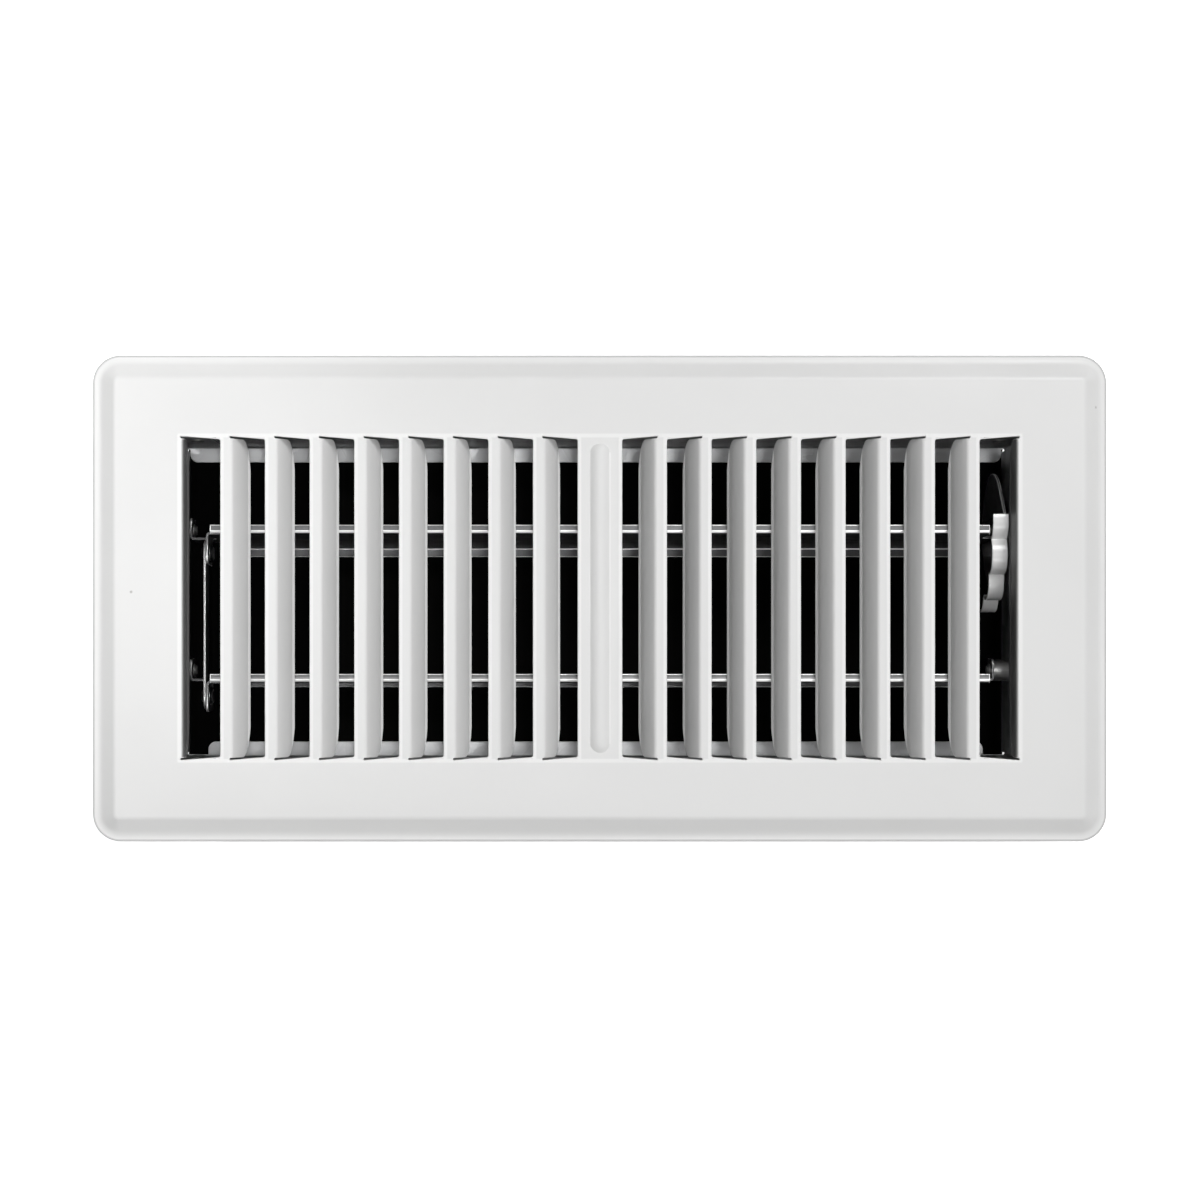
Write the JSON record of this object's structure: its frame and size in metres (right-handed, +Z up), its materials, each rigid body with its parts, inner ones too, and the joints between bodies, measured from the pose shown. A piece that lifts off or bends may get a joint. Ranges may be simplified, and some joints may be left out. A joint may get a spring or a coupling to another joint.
{
  "type": "floor register",
  "caption": "Steel floor register: white louvred face plate over an open damper box, with linked blades turned by a thumb wheel.",
  "frame": {"origin": "centre of the plane where the face plate's brim lies on the floor", "axes": "+X along the face towards the thumb wheel's end, +Y to the rear long edge, +Z up out of the floor"},
  "size_m": [0.292, 0.14, 0.0571],
  "materials": {
    "white_paint": "gloss",
    "galvanised_sheet": "satin",
    "plated_steel": "satin",
    "spring_steel": "satin"
  },
  "bodies": {
    "box": {"face_plate": "white_paint", "rear_rail": "galvanised_sheet", "front_rail": "galvanised_sheet", "left_end_plate": "galvanised_sheet", "right_end_plate": "galvanised_sheet", "corner_rivets": "plated_steel", "left_rear_pivot": "plated_steel", "left_front_pivot": "plated_steel", "right_rear_pivot": "plated_steel", "right_front_pivot": "plated_steel", "rear_spacer": "plated_steel", "front_spacer": "plated_steel", "spring_washer": "spring_steel"},
    "rear_damper": {"rear_blade": "galvanised_sheet", "thumb_wheel": "white_paint", "wheel_rivets": "plated_steel", "rear_link_rivet": "plated_steel"},
    "front_damper": {"front_blade": "galvanised_sheet", "front_link_rivet": "plated_steel"},
    "link": {"link_bar": "galvanised_sheet"}
  },
  "joints": [
    {"name": "rear_damper_turn", "type": "hinge", "parent": "box", "child": "rear_damper", "pos_m": [0, 0.0208, -0.027], "axis": [-1, 0, 0], "range_deg": [0, 83]},
    {"name": "front_damper_turn", "type": "hinge", "parent": "box", "child": "front_damper", "pos_m": [0, -0.0208, -0.027], "axis": [-1, 0, 0], "range_deg": [0, 83]},
    {"name": "link_swing", "type": "hinge", "parent": "rear_damper", "child": "link", "pos_m": [-0.1143, 0.0134, -0.011], "axis": [-1, 0, 0], "range_deg": [-83, 0]}
  ],
  "couplings": [
    {"joint": "front_damper_turn", "follows": "rear_damper_turn", "ratio": 1},
    {"joint": "link_swing", "follows": "rear_damper_turn", "ratio": -1}
  ]
}
